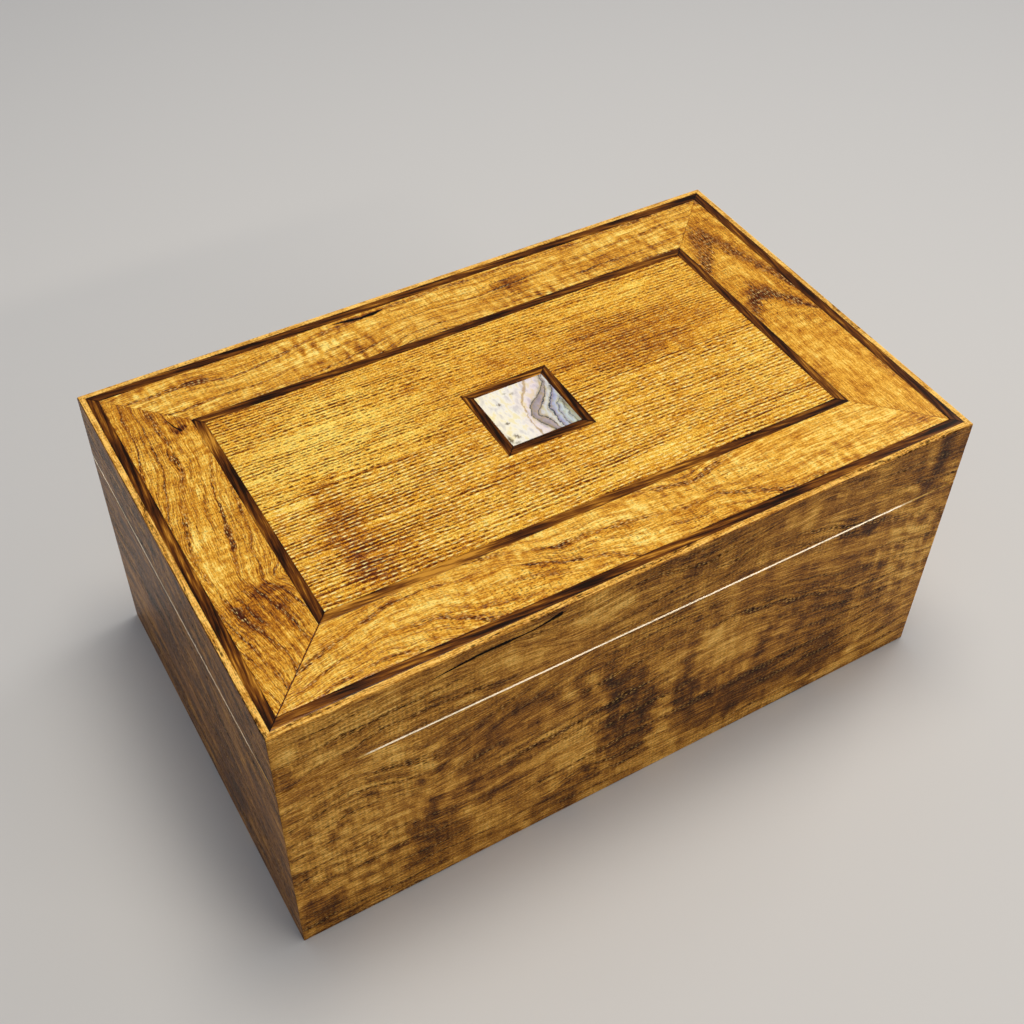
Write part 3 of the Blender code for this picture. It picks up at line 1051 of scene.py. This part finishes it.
# %% Grain of the border
BORDER_RINGS = {
    "front": [
        {-146: 8, -134: 9.2, -116: 14.8, -99: 17.8, -88: 18.2, -78: 16.4, -68: 11.2, -60: 5,
         -50: 1, 140: -6},
        {-146: 9, -137: 12, -128: 17.2, -108: 23.8, -88: 29, -78: 29.8, -65: 27.4, -48: 26.4,
         -35: 20.4, -21: 14.4, -13.6: 11.8, 0: 4, 12: 0, 140: -2},
        {-146: 24, -100: 38, -75: 36, -47: 30.4, -33: 25.8, -26: 22.4, -15: 23.2, -2: 21.8,
         8: 19.8, 25: 16.6, 35: 17.8, 42: 15.2, 55: 8.8, 66: 2, 140: -1},
        {-146: 34, -60: 42, 0: 37, 8: 33, 22: 28.8, 32: 27, 40: 27.4, 56: 31.8, 70: 37, 90: 39,
         140: 30},
    ],
    "right": [
        {6: -100, 14: -88, 21: -78, 28: -84, 34: -96},
        {6: -58, 14: -46, 21: -34, 28: -40, 34: -52},
        {6: -9.5, 7.2: -7.9, 13.9: 1.5, 17.9: 6.8, 22.5: 8.5, 27.2: 6.8, 33.2: -2.5},
        {6: 9, 7.2: 10.8, 10.5: 20.8, 13.9: 32.8, 17.9: 43.5, 21.2: 51.5, 27.2: 39.5, 33.2: 30},
        {6: 74, 14: 98, 21: 110, 28: 98, 33.2: 84},
    ],
    "left": [
        {-90: 11, -58: 10.2, -50: 9.4, -39: 6.8, -25: 4, 0: 0, 40: 2, 51: 6, 66: 10, 90: 14},
        {-90: 15, -50: 15, -38: 13.6, -31: 13.2, -21: 9.4, -13: 7.4, 10: 3, 40: 6, 51: 9.4,
         66: 12.8, 90: 17},
        {-90: 19, -61: 19, -50: 19.8, -42: 19, -32: 19, -23: 15.6, -13: 12.4, -1.6: 9.4, 6: 7,
         20: 8, 43: 12, 58: 18, 90: 22},
        {-90: 28, -60: 33, -38: 32.6, -30: 30.2, -21.6: 26.8, -13.2: 25.2, -1.6: 24, 9: 21.8,
         15.6: 20.2, 25.6: 18.2, 36: 22.6, 47: 25.2, 58: 27.6, 90: 32},
        {-90: 36, -30: 36, -14: 31.8, 0: 30.6, 10: 29, 23: 26, 30: 24, 34: 27, 38: 30.2, 44: 31.4,
         60: 35, 90: 38},
    ],
    "back": [
        {-146: -3, -40: 0, 20: 2, 44: 5, 100: 5, 112: 4, 122: 5, 131: 8, 146: 9},
        {-146: 5, -60: 8, 0: 7, 44: 9.6, 58: 11.2, 68: 14.2, 75: 16.2, 82: 16.8, 92: 16.6,
         99: 14.2, 112: 12, 146: 14},
        {-146: 14, -60: 17, -21: 20, 2: 18, 15: 18, 26: 19, 55: 22.2, 68: 24.2, 84: 25.6, 146: 26},
        {-146: 24, -60: 27, -21: 25.6, 2: 23.6, 15: 23.6, 26: 25.6, 50: 30, 146: 36},
        {-146: 32, -60: 33, -10: 28.8, 5: 27.2, 19: 28.2, 40: 36, 146: 44},
    ],
}
BORDER_PATCHES = {
    "front": [
        (-36, 16, 16, 8, 20, -0.1), (24, 12, 9, 4, 0, -0.09), (-48, 28, 10, 4, 25, -0.12),
        (0, 22, 30, 9, 0, 0.06), (-60, 24, 14, 5, 0, 0.06), (100, 20, 30, 12, 0, 0.06),
        (-88, 24, 14, 3, 0, 0.16), (-30, 29, 30, 3, -8, 0.12), (2, 12, 10, 3, -12, 0.16),
        (50, 25, 14, 3, 0, 0.08), (-8, 20, 8, 3, 0, -0.08), (36, 29, 16, 4, 0, -0.08),
        (130, 12, 12, 6, 0, -0.06),
    ],
    "right": [
        (59, 20, 12, 7, 0, -0.1), (45, 29, 14, 4, -21, -0.1), (37, 12, 25, 3.0, 11, -0.16),
        (16, 22, 7, 8, 0, -0.12), (9, 29.5, 10, 4.5, -28, -0.12), (8, 13, 14, 4.5, 31, -0.13),
        (68, 14, 12, 6, 0, -0.06), (-50, 20, 26, 10, 0, 0.06), (34, 22, 10, 5, 0, 0.04),
    ],
    "left": [
        (42, 21, 12, 13, 0, -0.28), (34, 24, 3, 4, 0, -0.3), (-74, 24, 26, 14, 0, -0.13),
        (-53, 28, 2.5, 1.5, 0, -0.5), (-64, 12, 10, 5, 0, -0.08), (62, 11, 6, 6, 0, -0.15),
        (10, 12, 20, 5, 0, 0.1), (-30, 22, 14, 4, 0, 0.08), (-20, 30, 14, 3, 0, 0.08),
    ],
    "back": [
        (-35, 19, 10, 7, 20, -0.28), (-78, 25, 14, 5, 0, -0.24), (103, 12, 7, 4, 0, -0.24),
        (30, 9, 11, 1.6, 0, -0.35), (36, 27, 8, 6, 0, -0.16), (-10, 15, 20, 5, 0, 0.05),
        (124, 20, 18, 12, 0, 0.09), (60, 20, 26, 5, 0, 0.1), (-90, 14, 20, 6, 0, 0.06),
    ],
}
BORDER_PORES = {
    "front": [
        (-36, 17, 15, 9, 20, 0.8), (23, 11, 8, 4, 0, 0.8), (100, 20, 34, 14, 0, -0.5),
        (-100, 10, 20, 3, 0, 0.2),
    ],
    "right": [(50, 20, 20, 18, 0, 0.45), (8, 20, 16, 18, 0, 0.45), (-60, 20, 50, 20, 0, -0.7)],
    "left": [(42, 18, 10, 12, 0, 0.35), (-42, 14, 26, 7, 0, 0.5), (-2, 24, 34, 6, 0, 0.45)],
    "back": [(-34, 20, 12, 7, 0, 0.6), (-70, 28, 14, 5, 0, 0.5), (104, 12, 9, 5, 0, 0.5)],
}
BORDER_STREAKS = {
    "left": [(-61, 24.8, 0.1), (-56, 26.2, 0.3), (-53, 27.8, 0.5), (-52, 28.2, 0.1)],
    "back": [
        (19, 8.6, 0.1), (24, 9.4, 1.0), (30, 9.6, 0.6), (34, 9.0, 0.9), (38, 8.4, 0.5),
        (42, 8.0, 0.1),
    ],
}
# The leaves differ in plain shade as painted light and shade: the light falls off towards the right end,
# so the right leaf is darkest
BORDER_PLAIN = {"front": 0.69, "right": 0.60, "back": 0.69, "left": 0.65}
GLUE = {"front": (-1.0, -0.25), "right": (-0.25, -0.15), "back": (-0.15, -0.2), "left": (-0.2, -1.0)}


def border_grain(side):
    """Attributes of a border leaf: board (along, inward, ring) and figure, as on a wall."""

    def grain(along, inward, up):
        seed = 60 + NUMBER[side]
        across = inward + (HEIGHT - up)
        bend = 0.5 * waves(along, across, seed, 6.0) + 0.2 * waves(along, across, seed + 5, 2.5)
        if side == "right":
            ring = ring_number(BORDER_RINGS[side], across, along + 3 * bend, blur=1.2)
        else:
            ring = ring_number(BORDER_RINGS[side], along, across + bend)
        shade = BORDER_PLAIN[side] + patches(along, across, BORDER_PATCHES[side], seed + 50, 1.2)
        ripples = waves(across, along, seed + 20, 4.0, 2.0)
        ripples = ripples * (0.5 + 0.5 * waves(along, across, seed + 30, 30.0))
        shade = shade + (0.20 if side == "back" else 0.09) * ripples
        pored = 0.95 + 0.3 * waves(along, across, seed + 40, 16.0)
        pored = pored + patches(along, across, BORDER_PORES[side])
        shade = shade + near_mitre(along, inward, run_of(side), GLUE[side])
        mark = streak(along, across, BORDER_STREAKS[side]) if side in BORDER_STREAKS else 0.0
        board = (along + 2000.0 + NEXT_BOARD * NUMBER[side], across, ring)
        return {"board": board, "figure": (shade, pored, mark)}

    return grain


print("border leaves:", sorted(BORDER_RINGS))

# %% [markdown]
# The leaves are flat strips like the stringing, only wider. Their grain is carried by the
# points of the mesh, so each leaf is cut into about 50 parts across its width. The right
# leaf has the finish for arched rings, because its chevrons are the boldest lines on the
# lid.

# %% Border leaves
for side in SIDES:
    section = strip_section(STRING_END, BORDER_END, parts=50)
    finish = (arched_ash if side == "right" else border_ash, border_grain(side))
    mitred_board(f"border_{side}", side, section, 0.8, finish)

# %% [markdown]
# ## Field
#
# The middle of the lid is quarter-sawn: the saw crossed the rings straight, so they lie in
# close, even rows along the box. There are two leaves with a joint along the middle line.
# Open pores make each row a fine groove, so the rows are real relief here: a wave of a few
# hundredths of a millimetre. The rows of the front leaf are wider and stronger.

# %% Field leaves
FIELD_HALF = np.array([LENGTH, DEPTH]) / 2 - FIELD_EDGE
FIELD_PATCHES = [
    (-86, -24, 9, 30, 0, -0.27), (-80, -40, 16, 12, 0, -0.1), (60, 16, 36, 16, -8, -0.23),
    (-6, 26, 24, 14, 0, -0.06), (-8, -27, 22, 9, 0, -0.1), (-96, 38, 12, 12, 0, -0.08),
    (-78, 20, 46, 26, 0, 0.24), (80, 44, 24, 10, 0, 0.05), (-30, -44, 36, 8, 0, 0.04),
    (10, 44, 60, 8, 0, 0.06), (95, -20, 16, 20, 0, 0.05), (-56, -8, 30, 8, 0, 0.04),
    (-96, -12, 6, 20, 0, 0.05),
]
# By the way a leaf faces, 1 for the back one and -1 for the front one: the space between
# its rings and the depth of its rows, in millimetres, and its plain shade
ROW_MM = {1: 1.55, -1: 1.65}
ROW_DEPTH = {1: 0.03, -1: 0.05}
FIELD_PLAIN = {1: 0.71, -1: 0.76}


def field_ring(x, y, facing):
    """Ring number on the field: the distance over the row spacing, with a slow drift."""
    drift = 0.8 * waves(x, y, 7 + facing, 30.0, 5.0) + 0.25 * waves(x, y, 17 + facing, 7.0, 4.0)
    return (y + drift + 0.012 * x) / ROW_MM[facing]


def field_grain(facing):
    """Attributes of a field leaf: board (X, Y, ring) and figure."""

    def grain(x, y, up):
        shade = FIELD_PLAIN[facing] + patches(x, y, FIELD_PATCHES, 57, 2.0)
        bands = 0.05 * waves(y, x, 31 + facing, 7.0, 3.0)
        shade = shade + bands * (0.5 + 0.5 * waves(x, y, 37, 30.0))
        shade = shade - 0.35 * np.clip(1.4 - np.abs(y) / 0.3, 0, 1)
        pored = 0.9 + 0.3 * waves(x, y, 41 + facing, 18.0) + 0.5 * np.exp(-(((x + 80) / 35) ** 2))
        pored = pored * (1 + 0.4 * waves(x, y, 47, 4.0, 12.0))
        board = (x + 4000.0 + NEXT_BOARD * facing, y, field_ring(x, y, facing))
        return {"board": board, "figure": (shade, pored, 0.0)}

    return grain


def field_relief(facing):
    """Rows as relief: low by up to ROW_DEPTH where the ring's early wood is."""

    def relief(x, y, up):
        wave = 0.5 + 0.5 * np.cos(2 * np.pi * (field_ring(x, y, facing) - 0.25))
        return ROW_DEPTH[facing] * wave * (0.75 + 0.25 * waves(x, y, 51, 3.0, 1.5))

    return relief


COLUMNS = (100, 44, 96)
ROWS = (76, 134)
notch = FRAME_SIDE / 2 + JOINT
x_edges = (-FIELD_HALF[0] + JOINT, SHELL_X - notch, SHELL_X + notch, FIELD_HALF[0] - JOINT)
y_edges = (JOINT, notch, FIELD_HALF[1] - JOINT)


def grid_lines(edges, parts):
    """Places of grid lines: each stretch between two edges cut into its number of parts."""
    runs = [np.linspace(low, high, n, False) for low, high, n in zip(edges, edges[1:], parts)]
    return np.concatenate([*runs, edges[-1:]])


xs, ys = grid_lines(x_edges, COLUMNS), grid_lines(y_edges, ROWS)
left, right, rows = COLUMNS[0], COLUMNS[0] + COLUMNS[1], ROWS[0]
far_x, far_y = sum(COLUMNS), sum(ROWS)
outline = [(0, 0), (left, 0), (left, rows), (right, rows)]
outline += [(right, 0), (far_x, 0), (far_x, far_y), (0, far_y)]
for name, material, facing in (("field_front", front_ash, -1), ("field_back", back_ash, 1)):
    finish = (material, field_grain(facing))
    relief = field_relief(facing)
    plate = leaf(name, xs, ys, outline, (left, right, 0, rows), finish, facing, relief)

# %% [markdown]
# ## Frame of the shell
#
# Four short rosewood strips with mitred corners hold the shell, cut from the same boards as
# the long stringing.

# %% Shell frame
FRAME_LIGHT = {"front": 0.02, "right": -0.05, "back": 0.10, "left": 0.04}
section = strip_section(0.0, (FRAME_SIDE - SHELL_SIDE) / 2, parts=8)
size = (FRAME_SIDE, FRAME_SIDE)
for side in SIDES:
    light = [(0, 2, 60, 60, 0, FRAME_LIGHT[side])]
    finish = (stringing_rosewood, strip_grain(20 + NUMBER[side], FRAME_SIDE, light))
    name = f"shell_frame_{side}"
    mitred_board(name, side, section, 0.8, finish, size, SHELL_X)

# %% [markdown]
# ## Shell
#
# The square is a blank of abalone shell. It grows in layers as a tree does, so the same
# ring numbers draw it: the left half is cream white mother-of-pearl, and towards the right
# the layers come to the surface as wavy blue-grey and lilac bands with dark edges. Pearl
# shows soft tints that change slowly over the surface; they are painted here as small, pale
# clouds of colour.

# %% Shell material and square
SHELL_RINGS = [
    {-14.5: -1.7, -8.5: -2.3, -3.6: -1.7, 1.2: -0.4, 3.4: -0.4, 7.2: 2.3, 11.5: 5.5, 14.7: 6.8},
    {-14.5: 3.9, -12.3: 2.5, -10.1: 1.2, -6.4: -0.4, -4.2: -0.4, 0.1: 1.5, 2.3: 3.3, 4.5: 7.6,
     6.6: 9.7, 9.9: 12.9, 14.9: 13.5},
    {-13.9: 5.5, -9.1: 4.9, -6.6: 3.4, -6.1: 2.3, -5.0: 2.0, -3.1: 3.4, 0.1: 7.0, 3.9: 10.2,
     7.7: 12.4, 14.9: 14.5},
    {-14.2: 7.6, -10.7: 7.3, -6.4: 8.1, -4.2: 7.8, -0.9: 9.2, 2.8: 12.4, 5.5: 14.2, 14.9: 16.5},
    {-14.9: 9.9, -11.2: 9.7, -7.4: 10.2, -3.1: 11.6, 0: 15, 14.9: 18},
    {-13.9: 13.4, -10.7: 12.9, -5.3: 13.4, -0.9: 14.5, 4: 16.5, 14.9: 20},
]
# Colours of the layers, from the cream ones on the left (0) to the last on the right (1)
LAYER_TINTS = (
    (0.0, "#FBF6E2"), (0.2, "#F8F7F0"), (0.33, "#F4EDEC"), (0.4, "#EADFE8"), (0.445, "#C8C4B0"),
    (0.45, "#9C9490"), (0.53, "#B4A8B4"), (0.555, "#B8B4B4"), (0.6, "#D6D6D8"), (0.665, "#DCE6E4"),
    (0.67, "#9A9EC6"), (0.73, "#B4BCDC"), (0.775, "#D8E6E0"), (0.78, "#A4ACC8"), (0.86, "#CCDCE0"),
    (0.96, "#8E8C6C"),
)


def abalone(name):
    """Polished abalone: tinted layers with dark and golden edges under a glassy surface.

    The layer number gives the tint, and noise stretched along the layers gives the sheen.
    """
    material, tree, shader = new_material(name)
    board, (line, gold, brown) = grain_sockets(tree)
    layer = add(tree, "SeparateXYZ", (board,)).outputs[2]
    height = add(tree, "MapRange", (layer, -3.0, 6.0))
    layers = add(tree, "ValToRGB", {"Fac": height}, stops=LAYER_TINTS)
    clouds = stretched_noise(tree, board, (2.2, 4.5), 3.0)
    sheen = ((0.30, "#E2E2EA"), (0.42, "#F4F4F7"), (0.52, "#FFFFFF"), (0.66, "#FBF5D4"))
    pearl = add(tree, "ValToRGB", {"Fac": clouds}, stops=sheen)
    inputs = {0: 1.0, 6: layers, 7: pearl}
    tint = add(tree, "Mix", inputs, data_type="RGBA", blend_type="MULTIPLY").outputs[2]
    for share, code in ((line, "#36383F"), (gold, "#B08C40"), (brown, "#5C4A28")):
        tint = add(tree, "Mix", {0: share, 6: tint, 7: colour(code)}, data_type="RGBA").outputs[2]
    looks = {
        "Base Color": tint,
        "Roughness": 0.22,
        "Coat Weight": 0.5,
        "Coat Roughness": 0.08,
    }
    fill(tree, shader, looks)
    return material


SHELL_SPOTS = [
    (-8.4, 7.2, 0.8, 0.6, 0, 0.9), (-10.8, -3.4, 0.8, 0.6, 0, 0.9), (-0.9, 10.4, 0.9, 0.7, 0, 0.5),
    (-3.6, 11.8, 0.7, 0.5, 0, 0.5), (-14.2, -11.5, 0.7, 2.0, 0, 1.0),
    (-11.0, -11.2, 0.8, 1.4, 30, 0.9), (-12.6, -14.2, 1.4, 0.6, 0, 0.6),
    (14.0, -3.0, 0.8, 3.0, 0, 0.6), (13.6, 6.0, 0.9, 1.6, 0, 0.4),
]


def shell_grain(x, y, up):
    """Attributes of the shell: board (x, y, layer) and figure (dark edge, gold edge, spot)."""
    x = x - SHELL_X
    bent = x + 0.25 * waves(x, y, 91, 3.0, 1.0) + 0.15 * waves(x, y, 97, 1.2, 1.0)
    layer = ring_number(SHELL_RINGS, y, bent, blur=0.6)
    width = np.interp(layer, [0.5, 1.0, 3.0, 6.0], [0.04, 0.07, 0.10, 0.08])
    away = np.abs(layer - np.round(layer)) / width
    weight = np.interp(layer, [0.5, 1.0, 3.0, 3.5, 4.0, 6.0], [0, 0.95, 1.0, 0.8, 0.75, 0.5])
    line = weight * np.clip(1.4 - away, 0, 1)
    gold = 0.7 * np.clip(1.6 - np.abs(layer) / 0.07, 0, 1)
    gold = gold + 0.6 * weight * np.clip(1 - np.abs(away - 2.0), 0, 1)
    brown = np.clip(patches(x, y, SHELL_SPOTS, 93, 0.25), 0, 0.9)
    return {"board": (x + 6000.0, y, layer), "figure": (line, np.clip(gold, 0, 1), brown)}


PARTS = 150
square = np.linspace(-1, 1, PARTS + 1) * (SHELL_SIDE / 2 - JOINT)
corners = [(0, 0), (PARTS, 0), (PARTS, PARTS), (0, PARTS)]
finish = (abalone("abalone_polished"), shell_grain)
leaf("shell_inlay", square + SHELL_X, square, corners, None, finish)

# %% [markdown]
# ## Ground panel and bottom
#
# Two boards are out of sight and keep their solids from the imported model. The panel under
# the inlay is birch plywood: pale, with fine darker rings. The bottom is a plain ash board
# without lacquer. Both read Object coordinates, which are metres, so their scales count
# rings and fibres to the metre. Real fibres are much finer than 2200 to the metre, but
# would not show, so they are drawn as coarse as that.


# %% Hidden boards
def plain_board(name, tones, ring_mm, rough):
    """Plain sawn wood: rings as stretched bands along X, with fine fibres."""
    material, tree, shader = new_material(name)
    place = add(tree, "TexCoord").outputs["Object"]
    scale = (4.0, 1000 / ring_mm, 60.0)
    scaled = add(tree, "VectorMath MULTIPLY", (place, scale))
    inputs = {"Vector": scaled, "Scale": 0.6, "Detail": 4.0, "Distortion": 0.5}
    rings = add(tree, "TexNoise", inputs)
    fibre = add(tree, "VectorMath MULTIPLY", (place, (60.0, 2200.0, 400.0)))
    fibres = add(tree, "TexNoise", {"Vector": fibre, "Scale": 1.0, "Detail": 2.0})
    tone = add(tree, "Math MULTIPLY_ADD", (fibres, 0.4, rings))
    looks = {
        "Base Color": add(tree, "ValToRGB", {"Fac": tone}, stops=tones),
        "Normal": add(tree, "Bump", {"Strength": 0.4, "Distance": 0.1 * MM, "Height": fibres}),
        "Roughness": rough,
    }
    fill(tree, shader, looks)
    return material


BIRCH = ((0.5, "#B8935C"), (0.68, "#D2B17B"), (0.85, "#E2C796"))
PLAIN_ASH = ((0.5, "#A8824C"), (0.68, "#C9A66C"), (0.85, "#DCC08A"))
HIDDEN = {
    "lid_ground": plain_board("birch_plywood_bare", BIRCH, ring_mm=9.0, rough=0.6),
    "base_bottom": plain_board("ash_bottom_bare", PLAIN_ASH, ring_mm=4.0, rough=0.55),
}
for name, bare in HIDDEN.items():
    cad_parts[name].material_slots[0].material = bare
print("hidden boards:", list(HIDDEN))
